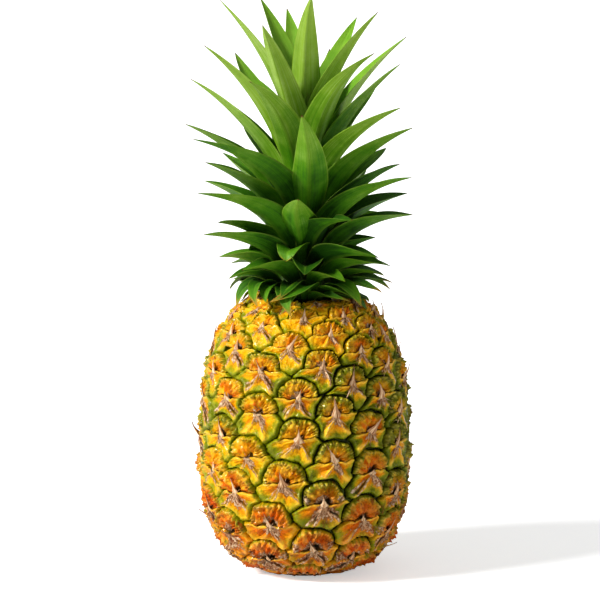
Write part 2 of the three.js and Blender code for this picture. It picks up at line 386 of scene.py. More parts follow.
def ripeness(eye):
    """0 for a golden eye, 1 for a deep orange one. The fruit ripens from the foot upwards."""
    low = smooth(105 - EYE_LENGTH[eye], 0, 75)
    # Deeper orange on the fruit's right: partly its own colour, partly painted shade.
    return np.clip(0.14 + 0.74 * low + 0.14 * side_green_and_shade(EYE_ANGLE[eye]) + EYE_MOOD[eye, 0] * 0.2, 0, 1)


def relief(eye):
    """How deep an eye's relief is, as a share of a broad eye's. The small ones are smoother, and the
    foot has pressed the lowest ones flat."""
    pressed = 0.35 + 0.65 * smooth(EYE_LENGTH[eye], -5, 24)
    return np.clip(EYE_SIZE[eye] / BROAD_EYE, 0.5, 1) ** 1.3 * pressed


def top_shade(eye):
    """Less green in the rows next to the crown."""
    return 1 - (0.25 + 0.35 * side_green_and_shade(EYE_ANGLE[eye])) * smooth(EYE_LENGTH[eye], 135, 185)


EYE_MOOD = chance.uniform(-1, 1, (EYES, 4))
FOLD_TURN = chance.uniform(0, TURN, (EYES, 6))
CAP_SHARES = [0, 0.06, 0.14, 0.23, 0.33, 0.43, 0.53, 0.62, 0.70, 0.77, 0.83, 0.88, 0.925, 0.965, 1]
BRACT_SHARES = [0, 0.07, 0.15, 0.24, 0.33, 0.42, 0.51, 0.60, 0.68, 0.76, 0.83, 0.89, 0.935, 0.97, 1]
CAP_COLUMNS = 70
BRACT_COLUMNS = 62
EDGE_STEPS = 181  # directions in which an edge is looked for
RIM_SHARE = 0.99  # of the way to a neighbour that an eye's own flesh fills
RIM_BEADS = 34  # round a whole eye
RIM_TEETH = 57
WAVES = chance.normal(size=(9, 2)) * np.linspace(0.5, 2.2, 9)[:, None] / 3.2
WAVE_TURN = chance.uniform(0, TURN, (EYES, 9))


def lumps(eye, x, y):
    """Uneven swellings over an eye, a few millimetres wide, between about -1 and 1."""
    waves = [np.sin(x * a + y * b + turn) for (a, b), turn in zip(WAVES * TURN / 2, WAVE_TURN[eye])]
    return sum(waves) / 3


def lobes(turn, count, phase):
    """Rounded swellings round an eye with sharp creases between them, from -1 to 1."""
    return 2 * np.abs(np.sin(0.5 * count * turn + phase)) ** 0.7 - 1


def rim_beads(turn, phase):
    return lobes(turn, RIM_BEADS, 1.8 * np.sin(4 * turn + phase[4]))


def half_eye(eye, ends, rule, shares, columns, bite, notches, phase):
    """What each half of an eye starts from: its directions and their rim, which cracks bite into,
    rows of shares t and columns of directions, the swellings, and the eye's own numbers."""
    fine = np.linspace(*ends, EDGE_STEPS)
    psi, edge = even_along(fine, rule(eye, fine), columns)
    edge = edge * (RIM_SHARE - bite * cracks(eye) * (1 + np.sin(notches * psi + phase)))
    t, turn = np.array(shares, float)[:, None], psi[None]
    x, y = t * edge * np.cos(turn) * EYE_SIZE[eye], t * edge * np.sin(turn) * EYE_SIZE[eye]
    own = FOLD_TURN[eye], EYE_MOOD[eye], LOWNESS[eye], cracks(eye), side_green_and_shade(EYE_ANGLE[eye]) ** 2
    return (psi, edge, t, turn, lumps(eye, x, y), *own)


def cap(eye):
    """The rounded upper half of an eye: a low dome with a beaded rim, lobes that run to the tip
    and a pit beside the tip."""
    ends = math.atan(LIP_RISE_RIGHT[eye]), math.pi - math.atan(LIP_RISE_LEFT[eye])
    psi, edge, t, turn, swelling, phase, mood, low, crack, right_green_and_shade = half_eye(
        eye, ends, cap_edge, CAP_SHARES, CAP_COLUMNS, 0.02, 3, FOLD_TURN[eye, 3]
    )
    height = -0.9 + 2.5 * smooth(t, 0.0, 0.6) - 0.4 * t**2
    height = height - (2.3 + 1.0 * crack) * smooth(t, 0.88, 1.0) ** 1.4
    height = height * (0.5 + 0.5 * smooth(np.sin(turn), 0.0, 0.3)) - 0.2
    wander = 1.5 * np.sin(1.7 * turn + phase[0]) + 1.6 * t * np.sin(phase[1])
    folds = lobes(turn, 7 + round(2 * mood[2]), wander + phase[2])
    window = smooth(t, 0.12, 0.5) * (1 - smooth(t, 0.9, 1.0))
    height = height + (0.25 + 0.15 * mood[3]) * folds * window + 1.4 * swelling * window
    beads = rim_beads(turn, phase)
    height = height + 0.5 * beads * bump(t, 0.89, 0.065) + 0.5 * np.cos(turn + phase[5]) * window
    basin = bump(t, 0.3, 0.16) * smooth(mood[1], -0.2, 0.6)
    height -= 0.6 * basin
    x, y = t * edge * np.cos(turn), t * edge * np.sin(turn)
    pit = np.exp(-(((x - 0.16 - 0.04 * mood[0]) / 0.075) ** 2) - ((y - 0.1) / (0.12 + 0.03 * mood[2])) ** 2)
    pit = pit * smooth(mood[3] + 0.4 * low, -0.9, -0.1)
    height -= (1.9 + 0.8 * low) * pit

    # More green on the fruit's right, which the greening ramp makes darker: partly the eye's own colour,
    # partly painted shade.
    green = (0.95 + 0.2 * right_green_and_shade) * smooth(t, 0.55, 0.96) + 0.2 * swelling * smooth(t, 0.3, 0.7)
    green += (0.35 * mood[1] + 0.65 * right_green_and_shade) * bump(t, 0.6, 0.38)
    green *= 1 - 0.85 * low * (1 - 0.65 * smooth(t, 0.82, 0.96))
    # Bead tops are made less green, a painted highlight.
    green = green * top_shade(eye) + 0.24 * mood[2] - 0.16 * beads * bump(t, 0.88, 0.07)
    corner = bump(t, 0.8, 0.22) * (bump(turn, 0.3, 0.3) + bump(turn, math.pi - 0.3, 0.3))
    dry = (0.25 + 0.75 * low) * corner * (0.6 + 0.6 * mood[3]) + 0.7 * basin * (0.4 + 0.6 * low)
    dry += (0.7 + 0.4 * low) * bump(t, 0, 0.26) * (0.7 + 0.5 * mood[0])
    # Painted shade: the crease mask darkens the pit, the tip's foot and a ring round it, the cracks (most
    # on the fruit's right), the folds between lobes and beads, and the line under the lip.
    crease = 1.6 * pit + 0.8 * bump(t, 0, 0.13) + (0.22 + 0.85 * crack) * smooth(t, 0.95, 1.0)
    crease += (0.2 + 0.15 * mood[2]) * bump(t, 0.16, 0.13)
    crease += 0.42 * smooth(-folds, 0.1, 1.0) * window * (1 - t)
    crease += (0.22 + 0.15 * crack) * smooth(-beads) * bump(t, 0.92, 0.06)
    at_lip = np.minimum(turn - ends[0], ends[1] - turn) * t * edge[None]
    crease += 0.7 * (1 - smooth(at_lip, 0.0, 0.06)) * smooth(t, 0.08, 0.2) * (1 - smooth(t, 0.5, 0.95))
    ripe = ripeness(eye) + 0.3 * swelling * window - 0.15 * folds * window + 0.3 * low * bump(t, 0.5, 0.3)
    ripe += 0.2 * bump(t, 0.1, 0.4)
    # Painted highlight: this mask lightens the colour on bead tops and fold crests, and adds gloss there.
    crest_highlight = 0.7 * smooth(beads) * bump(t, 0.87, 0.05) + 0.35 * smooth(folds, 0.2, 1.0) * window
    return fan_body(eye, t, psi, edge, height, crest_highlight, ripe, green, dry, crease)


def bract(eye):
    """The fleshy bract under a cap: two wings and a keel between ridges, with a raised lip and a
    green collar along the eyes below."""
    left = math.pi - math.atan(LIP_RISE_LEFT[eye]) + 0.02
    right = TURN + math.atan(LIP_RISE_RIGHT[eye]) - 0.02
    psi, edge, t, turn, swelling, phase, mood, low, crack, right_green_and_shade = half_eye(
        eye, (left, right), bract_edge, BRACT_SHARES, BRACT_COLUMNS, 0.015, 4, FOLD_TURN[eye, 5]
    )
    lean = turn - 1.5 * math.pi + 0.1 * np.sin(5 * t + phase[0])  # 0 straight down, growing to the right
    left_ridge, right_ridge = -0.62 + 0.16 * mood[1], 0.55 + 0.16 * mood[2]
    ridges = bump(lean, left_ridge, 0.12) + bump(lean, right_ridge, 0.12)
    hollows = bump(lean, left_ridge - 0.36, 0.2) + bump(lean, right_ridge + 0.36, 0.2)
    hollows += 0.45 * bump(lean, 0, 0.25)
    along = smooth(t, 0.04, 0.25) * (1 - smooth(t, 0.7, 1.0))
    at_lip = np.minimum(turn - psi[0], psi[-1] - turn) * t * edge[None]
    lip = 1 - smooth(at_lip, 0.02, 0.17)
    height = 1.0 + 0.5 * bump(t, 0, 0.18) - 0.9 * t**1.5 + 0.75 * bump(t, 0.86, 0.09)
    height = height - (1.2 + 0.5 * crack) * smooth(t, 0.86, 1.0) ** 1.5
    height = height + (1.15 * ridges - 1.25 * hollows) * along + 0.5 * swelling * smooth(t, 0.1, 0.4)
    height += 0.85 * lip * smooth(t, 0.1, 0.4) * (1 - smooth(t, 0.9, 1.0))
    height -= 0.5 * (1 - smooth(at_lip, 0, 0.03))
    height -= (0.15 + 0.9 * crack) * smooth(t, 0.95, 1.0)
    fibres = lobes(turn, 31, 2.0 * np.sin(3 * turn + phase[3]) + t)
    height += 0.16 * fibres * smooth(t, 0.08, 0.25) * (1 - smooth(t, 0.5, 0.8))

    rim = smooth(t, 0.44, 0.98)
    green = 1.05 * rim + 0.45 * smooth(t, 0.2, 0.7) * hollows + 0.15 * swelling
    # More green on the fruit's right, which the greening ramp makes darker: partly the bract's own colour,
    # partly painted shade.
    green += 0.55 * right_green_and_shade * (1 - 0.6 * lip) * smooth(t, 0.1, 0.5)
    green = green * (1 - 0.75 * low) * (1 - 0.5 * lip * (1 - rim)) * top_shade(eye)
    green = green + 0.16 * mood[3] - 0.6 * along * ridges
    fan_turn, fan_width = 0.45 * math.sin(phase[1]), 0.72 + 0.25 * math.sin(phase[2]) + 0.3 * low
    centre = bump(lean, fan_turn, fan_width) * (1 - smooth(t, 0.2, 0.68 + 0.3 * low + 0.22 * mood[0]))
    dry = 0.35 * ridges * (1 - smooth(t, 0.3, 0.8)) + centre * (0.95 + 0.5 * low) + 0.6 * bump(t, 0, 0.14)
    dry += 0.3 * low * rim * smooth(mood[1], -0.5, 0.5)
    torn = smooth(t, 0.15, 0.35) * (1 - smooth(t, 0.75, 0.95)) * smooth(mood[3], -0.9, 0.1)
    split, frayed = 0, 0
    for at in (right_ridge + 0.13, left_ridge - 0.13):
        split = split + bump(lean, at, 0.055)
        frayed = frayed + bump(lean, at - 0.12, 0.06) + bump(lean, at + 0.12, 0.06)
    dry += 0.75 * frayed * torn
    # Painted shade: the crease mask darkens the tip's foot, the hollows, the cracks (most on the fruit's
    # right), a ring round the tip and the line under the lip; the splits where a bract is torn are real
    # dark lines.
    crease = 0.7 * bump(t, 0, 0.1) + 0.25 * hollows * along * t
    crease += (0.22 + 0.85 * crack) * smooth(t, 0.945, 1.0)
    crease += 0.13 * (1 + mood[0]) * bump(t, 0.15, 0.12)
    crease += 0.95 * split * torn
    crease += 0.7 * (1 - smooth(at_lip, 0.0, 0.022)) * (1 - smooth(t, 0.45, 0.9))
    ripe = ripeness(eye) + 0.3 * hollows * along + 0.2 * swelling - 0.2 * lip
    # Painted highlight: this mask lightens the colour on the ridges, the lip and the collar roll (less on
    # the fruit's shaded right), and adds gloss there.
    crest_highlight = (0.9 * ridges + 0.7 * lip) * along + 0.35 * bump(t, 0.85, 0.05) * (1 - right_green_and_shade)
    return fan_body(eye, t, psi, edge, height, crest_highlight, ripe, green, dry, crease)


CORE_DEPTH = 4.0  # of the skin between the eyes, under the outline
CORE_ROWS = 150
CORE_SIDES = 180


def core(material):
    """The skin that shows in the cracks between the eyes, with the flat foot and its recess."""
    length = np.linspace(LENGTHS[0], LENGTHS[-1], CORE_ROWS)
    sunk = CORE_DEPTH * smooth(length, 0, 10) * (1 - smooth(length, LENGTHS[-1] - 12, LENGTHS[-1]))
    r, z = off_outline(length, -sunk)
    recess_r = [0, 0.6 * RECESS_RADIUS, RECESS_RADIUS - 1.2, RECESS_RADIUS - 0.3]
    recess_z = [RECESS_DEPTH, RECESS_DEPTH, RECESS_DEPTH - 0.8, 1.5]
    r, z = np.concatenate([recess_r, r[:-1], [0]]), np.concatenate([recess_z, z])
    return turned("rind_core", r, z, CORE_SIDES, material)


def turned(name, r, z, sides, material):
    """A closed body of revolution. The outline starts and ends on the axis."""
    angle = np.arange(sides) * TURN / sides
    spin = np.sin(angle), -np.cos(angle), np.ones(sides)
    rings = np.stack([np.outer(far, part) for far, part in zip((r, r, z), spin)], -1)
    points = np.concatenate([rings[0, :1], rings[1:-1].reshape(-1, 3), rings[-1, :1]])
    ring = 1 + np.arange((len(r) - 2) * sides).reshape(-1, sides)
    ring = np.hstack([ring, ring[:, :1]]).tolist()
    faces = [(0, far, near) for near, far in zip(ring[0], ring[0][1:])]
    for low, high in zip(ring, ring[1:]):
        faces += strip(low, high)
    faces += [(len(points) - 1, near, far) for near, far in zip(ring[-1], ring[-1][1:])]
    return new_piece(name, points, faces, material)


# ---------------------------------------------------------------- shader tools


def colour(code):
    """A hex colour as the linear numbers that shaders take."""
    parts = [int(code[i : i + 2], 16) / 255 for i in (0, 2, 4)]
    return tuple(p / 12.92 if p <= 0.04045 else ((p + 0.055) / 1.055) ** 2.4 for p in parts) + (1.0,)


class Graph:
    """Short ways to add nodes to a node tree. Colours are given as hex codes."""

    def __init__(self, tree):
        self.tree = tree

    def node(self, kind, inputs=None, **settings):
        node = self.tree.nodes.new(kind)
        for key, value in settings.items():
            setattr(node, key, value)
        for key, value in (inputs or {}).items():
            self.feed(node.inputs[key], value)
        return node

    def feed(self, socket, value):
        if isinstance(value, bpy.types.NodeSocket):
            self.tree.links.new(value, socket)
        else:
            is_code = socket.type == "RGBA" and isinstance(value, str)
            socket.default_value = colour(value) if is_code else value

    def math(self, operation, *values, clamp=False):
        inputs = dict(enumerate(values))
        return self.node("ShaderNodeMath", inputs, operation=operation, use_clamp=clamp).outputs[0]

    def times(self, first, second):
        return self.math("MULTIPLY", first, second)

    def less(self, first, second, clamp=False):
        return self.math("SUBTRACT", first, second, clamp=clamp)

    def add(self, *values):
        return functools.reduce(lambda left, right: self.math("ADD", left, right), values)

    def off(self, mask, amount):
        """How far a mask is from its middle, times an amount."""
        return self.times(self.less(mask, 0.5), amount)

    def step(self, value, start, end, low=0.0, high=1.0):
        inputs = {0: value, 1: start, 2: end, 3: low, 4: high}
        return self.node("ShaderNodeMapRange", inputs, interpolation_type="SMOOTHSTEP").outputs[0]

    def attributes(self, *names):
        return [self.node("ShaderNodeAttribute", attribute_name=n).outputs["Fac"] for n in names]

    def blend(self, share, first, second):
        inputs = {0: share, 6: first, 7: second}
        return self.node("ShaderNodeMix", inputs, data_type="RGBA").outputs[2]

    def cover(self, base, *layers):
        """Lays layers, each given as its share and colour, over a base one after another."""
        return functools.reduce(lambda under, layer: self.blend(layer[0], under, layer[1]), layers, base)

    def ramp(self, value, stops):
        node = self.node("ShaderNodeValToRGB", {0: value})
        elements = node.color_ramp.elements
        while len(elements) < len(stops):
            elements.new(1.0)
        for element, (position, code) in zip(elements, stops.items()):
            element.position, element.color = position, colour(code)
        return node.outputs[0]

    def place(self):
        return self.node("ShaderNodeTexCoord").outputs["Object"]

    def noise(self, place, scale, detail, roughness, distortion=0.0):
        inputs = {"Vector": place, "Scale": scale, "Detail": detail, "Roughness": roughness}
        inputs["Distortion"] = distortion
        return self.node("ShaderNodeTexNoise", inputs).outputs["Fac"]

    def group(self, tree, *values):
        return self.node("ShaderNodeGroup", dict(enumerate(values)), node_tree=tree).outputs[0]

    def streaks(self, across, along, lines, stretch, seed):
        return self.group(STREAKS, across, along, lines, stretch, seed)

    def mottle(self, size, contrast):
        return self.group(MOTTLE, size, contrast)


FLOAT, GEOMETRY = "NodeSocketFloat", "NodeSocketGeometry"


def new_group(name, kind, inputs, outputs):
    """A node group, a graph to fill it with, and the sockets it is given and gives out."""
    tree = bpy.data.node_groups.new(name, kind)
    for way, sockets in (("INPUT", inputs), ("OUTPUT", outputs)):
        for key, socket in sockets.items():
            tree.interface.new_socket(name=key, in_out=way, socket_type=socket)
    g = Graph(tree)
    return tree, g, g.node("NodeGroupInput").outputs, g.node("NodeGroupOutput").inputs


def fibre_streaks():
    """Thin lines that run along a blade, a bract or a fan, and stay put across it."""
    names = ("Across", "Along", "Lines", "Stretch", "Seed")
    inputs = dict.fromkeys(names, FLOAT)
    tree, g, given, out = new_group("fibre streaks", "ShaderNodeTree", inputs, {"Streak": FLOAT})
    across, along, lines, stretch, seed = (given[name] for name in names)
    parts = {0: g.times(across, lines), 1: g.times(along, stretch), 2: seed}
    place = g.node("ShaderNodeCombineXYZ", parts).outputs[0]
    g.feed(out["Streak"], g.noise(place, 1.0, 4.0, 0.65, 0.15))
    return tree


def mottle():
    """Soft blotches with a little fine grain, in object space."""
    inputs = {"Size": FLOAT, "Contrast": FLOAT}
    tree, g, given, out = new_group("mottle", "ShaderNodeTree", inputs, {"Mottle": FLOAT})
    coarse = g.noise(g.place(), g.math("DIVIDE", 1.0, given["Size"]), 3.0, 0.6)
    g.feed(out["Mottle"], g.math("ADD", g.off(coarse, given["Contrast"]), 0.5, clamp=True))
    return tree


STREAKS = fibre_streaks()
MOTTLE = mottle()


def new_material(name, **finish):
    """A material with a Principled shader whose even values are set on its own sockets."""
    material = bpy.data.materials.new(name)
    material.use_nodes = True
    material.node_tree.nodes.clear()
    g = Graph(material.node_tree)
    finish = {key.replace("_", " "): value for key, value in finish.items()}
    shader = g.node("ShaderNodeBsdfPrincipled", finish)
    g.node("ShaderNodeOutputMaterial", {0: shader.outputs[0]})
    return material, g, shader


def paint(g, shader, base, height, distance, **masks):
    """Feeds a shader its base colour, a bump of so many millimetres, and masks."""
    bumps = g.node("ShaderNodeBump", {"Height": height, "Distance": distance * MM, "Strength": 1.0})
    masks = {key.replace("_", " "): value for key, value in masks.items()}
    for key, value in {"Base Color": base, "Normal": bumps.outputs[0], **masks}.items():
        g.feed(shader.inputs[key], value)


def eye_flesh(name, ripening, greening, streak_lines, fibrous):
    """The flesh of an eye: ripe colour, green towards its rim, dry fibres, painted shade in its creases,
    pits and cracks with real dark splits, and a painted highlight on its crests.
    fibrous says how strongly the streaks show."""
    material, g, shader = new_material(name, Coat_Roughness=0.14, Specular_IOR_Level=0.12)
    reach, turn, ripe, greenness = g.attributes("reach", "turn", "ripe", "green")
    dry, crease, mood, crest_highlight = g.attributes("dry", "crease", "mood", "crest_highlight")
    blotch, fine, knobs = g.mottle(0.005, 2.4), g.mottle(0.0013, 2.0), g.mottle(0.0026, 2.4)
    wide = g.streaks(turn, reach, streak_lines, 1.6, mood)
    thin = g.streaks(turn, reach, streak_lines * 4, 3.0, mood)
    ripe_here = g.add(ripe, g.off(blotch, 0.7), g.off(wide, fibrous), g.off(knobs, -0.4), g.off(fine, 0.12))
    # Painted highlight: crests are made less ripe and, below, less green, so they show paler yellow.
    ripe_here = g.less(ripe_here, g.times(crest_highlight, 0.4))
    green_here = g.add(greenness, g.off(fine, 0.08), g.off(blotch, 0.42), g.off(wide, 0.5 * fibrous))
    green_here = g.less(g.add(green_here, g.off(knobs, -0.12)), g.times(crest_highlight, 0.3))
    dry_here = g.add(dry, g.off(thin, 1.6), g.off(fine, 0.6), g.off(knobs, 0.5))
    dry_share = g.step(g.times(dry_here, g.step(dry, 0.08, 0.45)), 0.28, 0.6)
    fibre = g.ramp(
        g.add(thin, g.off(fine, 0.4), g.off(knobs, 0.2)),
        {0.3: "6e3e22", 0.42: "ac744c", 0.5: "d0a27a", 0.6: "e6c29a", 0.72: "f4dfc2"},
    )
    wrinkles = g.times(g.step(thin, 0.3, 0.42, 1.0, 0.0), g.step(dry, 0.04, 0.3, 0.25, 1.0))
    rust = g.times(g.step(blotch, 0.6, 0.85), g.step(ripe, 0.4, 0.95))
    base = g.cover(
        g.ramp(ripe_here, ripening),
        (g.step(green_here, 0.0, 0.95, 0.0, 0.94), g.ramp(g.times(green_here, 0.75), greening)),
        # Painted highlight: pale yellow on the crests.
        (g.times(crest_highlight, 0.38), "ffe65c"),
        (g.step(dry, 0.1, 0.95, 0.0, 0.36), "d8a070"),
        (dry_share, fibre),
        (g.times(wrinkles, 0.7 * fibrous), "5a2c0c"),
        (g.times(rust, 0.68), "8a3206"),
        # Painted shade: near black in creases, pits, cracks and under lips, together with the real dark
        # splits of torn bracts.
        (g.times(g.step(crease, 0.05, 0.9), 0.92), "1c1802"),
    )
    wet = g.less(1.0, g.math("MAXIMUM", dry_share, crease), clamp=True)
    relief = g.add(
        g.times(thin, g.add(0.2 * fibrous, dry_share)), g.times(fine, 0.2),
        g.times(wide, 0.9 * fibrous), g.times(knobs, 0.3),
    )
    paint(
        g, shader, base, relief, 1.1,
        Roughness=g.add(g.times(dry_share, 0.4), g.off(fine, 0.25), 0.24),
        Coat_Weight=g.times(wet, g.add(0.08, g.times(crest_highlight, 0.75))),
    )
    return material


def skin_material():
    """The skin in the cracks between eyes: dark green, and brown near the foot."""
    material, g, shader = new_material("crack skin", Roughness=0.7)
    blotch = g.mottle(0.004, 2.0)
    height = g.node("ShaderNodeSeparateXYZ", {0: g.place()}).outputs[2]
    lower = g.ramp(blotch, {0.2: "3a200a", 0.8: "94642a"})
    upper = g.ramp(blotch, {0.2: "1d2404", 0.8: "556408"})
    paint(g, shader, g.blend(g.step(height, 0.002, 0.03), lower, upper), blotch, 0.5)
    return material


def dry_material():
    """Papery, fibrous dry tips: cream in the light, pinkish brown in the folds."""
    material, g, shader = new_material("dry bract", Roughness=0.75, Specular_IOR_Level=0.25)
    across, along, mood = g.attributes("across", "along", "shade")
    thin = g.streaks(across, along, 4.6, 1.2, mood)
    tone = g.add(g.off(thin, 2.8), g.times(mood, 0.2), 0.52)
    base = g.ramp(tone, {0.1: "4a2612", 0.3: "8e5836", 0.47: "c48f62", 0.78: "f0d4ae"})
    paint(g, shader, g.blend(g.step(along, 0.7, 1.0), base, "a9744a"), thin, 0.5)
    return material


def leaf_material():
    """Waxy leaf: long fine veins, a pale bloom on the edges and a brown tip."""
    material, g, shader = new_material("crown leaf", Coat_Roughness=0.25, Specular_IOR_Level=0.3)
    along, across, inner = g.attributes("along", "across", "inner")
    youth_and_base_shade, mood, wither = g.attributes("youth_and_base_shade", "shade", "wither")
    veins, broad = g.streaks(across, along, 30.0, 1.0, mood), g.streaks(across, along, 2.5, 1.1, mood)
    blotch = g.mottle(0.012, 1.6)
    # Lighter on young, high leaves; darker towards each leaf's base, which is painted shade.
    tone = g.add(g.times(youth_and_base_shade, 0.75), g.off(veins, 0.55), g.off(broad, 0.45))
    tone = g.math("ADD", tone, g.off(blotch, 0.3), clamp=True)
    outer = g.ramp(tone, {0.0: "245006", 0.2: "4a8408", 0.5: "7aa614", 0.8: "a2c444", 1.0: "c0d888"})
    deep = g.ramp(tone, {0.0: "183604", 0.3: "386c06", 0.6: "669c12", 1.0: "8eb834"})
    bloom = g.times(g.step(veins, 0.42, 0.72), g.step(g.add(blotch, youth_and_base_shade), 0.7, 1.4))
    away = g.math("ABSOLUTE", across)
    dead = g.step(g.add(wither, g.off(veins, 0.9)), 0.35, 0.75)
    base = g.cover(
        outer,
        (g.times(bloom, 0.3), "c8dca8"),
        (g.times(inner, 0.92), deep),
        (g.times(g.step(away, 0.0, 0.2, 1.0, 0.0), 0.3), "8cb43a"),
        (g.times(g.step(away, 0.88, 1.0), 0.3), "a0b448"),
        (g.step(g.add(along, g.off(blotch, 0.03)), 0.972, 0.992), "6e4a22"),
        (dead, g.ramp(veins, {0.3: "6b3c14", 0.5: "b98a34", 0.7: "d8c65a"})),
    )
    paint(
        g, shader, base, g.add(veins, g.times(broad, 0.6)), 0.35,
        Roughness=g.add(0.42, g.times(veins, 0.26), g.times(dead, 0.3)),
        Coat_Weight=g.times(g.less(1.0, dead), 0.06),
    )
    return material


def stem_material():
    # Painted shade: a dark green, so the bits of stem that show between the leaf bases look shadowed.
    material, g, shader = new_material("crown stem flesh", Roughness=0.6)
    blotch = g.mottle(0.005, 2.0)
    paint(g, shader, g.ramp(blotch, {0.2: "20380a", 0.8: "5d7a2c"}), blotch, 0.6)
    return material


def cut_material():
    """The cut stalk: pale pith with brown fibre ends, darker round its edge."""
    material, g, shader = new_material("cut stalk", Roughness=0.85)
    place = g.place()
    x, y, _ = g.node("ShaderNodeSeparateXYZ", {0: place}).outputs
    radius = g.math("SQRT", g.add(g.math("POWER", x, 2.0), g.math("POWER", y, 2.0)))
    ends = g.node("ShaderNodeTexVoronoi", {"Vector": place, "Scale": 900.0}).outputs["Distance"]
    base = g.cover(
        g.ramp(g.mottle(0.003, 2.0), {0.2: "a8875a", 0.8: "d6bd8c"}),
        (g.step(ends, 0.15, 0.4, 0.7, 0.0), "6b4526"),
        (g.step(radius, 0.0078, 0.0096), "5c4020"),
    )
    paint(g, shader, base, ends, 0.4)
    return material


# ---------------------------------------------------------------- dry bract tips

DRY = dry_material()


def blade(length, width, rise, fall, twist, split, fray, rows, columns):
    """A thin closed blade along +Y in millimetres, creased lengthways, that lifts and bends. Its
    edges fray by the given millimetres."""
    points, across, along = [], [], []
    ragged = np.random.default_rng(int(100 * length)).uniform(-1, 1, (2, rows)) * fray
    for side in (1, -1):
        for row in range(rows):
            t = row / (rows - 1)
            half = 0.5 * width * (0.05 + 0.47 * (1 - t) + 0.48 * (1 - t) ** 4)
            half *= 1 + 0.15 * math.sin(7 * t + split)
            lift = length * (rise * t - fall * t * t)
            for column in range(columns):
                x = 2 * column / (columns - 1) - 1
                edge = half + ragged[int(x > 0), row] * 0.3 * min(1, half)
                crease = 0.45 * half * (1 - abs(x)) + 0.12 * math.sin(9 * x + 5 * t)
                up = crease + side * 0.12 * (1 - 0.6 * t)
                aside = edge * x * math.cos(twist * t) + split * t * t * length * 0.3
                points.append((aside, length * t, lift + up + half * x * math.sin(twist * t)))
                across.append(x)
                along.append(t)
    return points, sheet_faces(rows, columns), {"across": across, "along": along}


def eye_frame(eye, x, y, height):
    """Where a point near an eye's centre is, and the directions right, up and outwards there."""
    length = EYE_LENGTH[eye] + y
    angle = EYE_ANGLE[eye] + x / circle_radius(length)
    away, up = np.interp(length, LENGTHS, OUT_R), np.interp(length, LENGTHS, OUT_Z)
    out = np.array([away * math.sin(angle), -away * math.cos(angle), up])
    right = np.array([math.cos(angle), math.sin(angle), 0.0])
    return on_fruit(angle, length, height), right, np.cross(out, right), out


def leaning(first, second, angle):
    """Two directions, turned towards each other's places by an angle."""
    sine, cosine = math.sin(angle), math.cos(angle)
    return first * cosine + second * sine, second * cosine - first * sine


def scatter_tree(name, shapes):
    """Geometry Nodes: one of several shapes on each point, turned and sized by the point's own
    attributes, made real and given the dry material."""
    inputs = {"Geometry": GEOMETRY, "Size": FLOAT}
    tree, g, given, out = new_group(name, "GeometryNodeTree", inputs, {"Geometry": GEOMETRY})
    direction, size, shape = (
        g.node("GeometryNodeInputNamedAttribute", {0: key}, data_type=kind).outputs[0]
        for key, kind in (("direction", "FLOAT_VECTOR"), ("size", "FLOAT_VECTOR"), ("shape", "INT"))
    )
    choices = {"Collection": shapes, "Separate Children": True, "Reset Children": True}
    choices = g.node("GeometryNodeCollectionInfo", choices).outputs[0]
    scale = g.node("ShaderNodeVectorMath", {0: size, "Scale": given["Size"]}, operation="SCALE").outputs[0]
    spread = {"Points": given["Geometry"], "Instance": choices, "Pick Instance": True}
    spread.update({"Instance Index": shape, "Rotation": direction, "Scale": scale})
    spread = g.node("GeometryNodeInstanceOnPoints", spread).outputs[0]
    real = g.node("GeometryNodeRealizeInstances", {0: spread}).outputs[0]
    painted = g.node("GeometryNodeSetMaterial", {"Geometry": real, "Material": DRY}).outputs[0]
    g.feed(out["Geometry"], painted)
    return tree


AS_DRAWN = 1.0  # the size that the scatter trees give their shapes


def scattered(name, blades, rows):
    """Scatters blades over points given as (place, right, up, out, scale, blade), and returns the
    result as a plain mesh that stays above the floor."""
    box = bpy.data.collections.new(name + " shapes")  # kept out of the scene
    for number, (points, faces, values) in enumerate(blades):
        values = dict(values, shade=np.full(len(points), number / len(blades)))
        shape = new_piece(f"{name}_shape_{number}", points, faces, DRY, values)
        bpy.context.scene.collection.objects.unlink(shape)
        box.objects.link(shape)
    mesh = bpy.data.meshes.new(name + " points")
    mesh.from_pydata([tuple(row[0] * MM) for row in rows], [], [])
    turns = [Matrix(row[1:4]).transposed().to_euler("XYZ")[:] for row in rows]
    sizes = [(row[4],) * 3 for row in rows]
    for key, numbers in (("direction", turns), ("size", sizes)):
        attribute = mesh.attributes.new(key, "FLOAT_VECTOR", "POINT")
        attribute.data.foreach_set("vector", np.array(numbers, np.float32).ravel())
    mesh.attributes.new("shape", "INT", "POINT").data.foreach_set("value", [row[5] for row in rows])
    source = new_object(name + " source", mesh)
    modifier = source.modifiers.new("scatter", "NODES")
    modifier.node_group = scatter_tree(name + " on eyes", box)
    for socket in modifier.node_group.interface.items_tree:
        if socket.name == "Size":
            modifier[socket.identifier] = AS_DRAWN
    graph = bpy.context.evaluated_depsgraph_get()
    result = bpy.data.meshes.new_from_object(source.evaluated_get(graph))
    source.modifiers.remove(modifier)
    bpy.data.objects.remove(source)
    result.name = name
    result.polygons.foreach_set("use_smooth", [True] * len(result.polygons))
    for vertex in result.vertices:
        vertex.co.z = max(vertex.co.z, 0)
    return new_object(name, result)


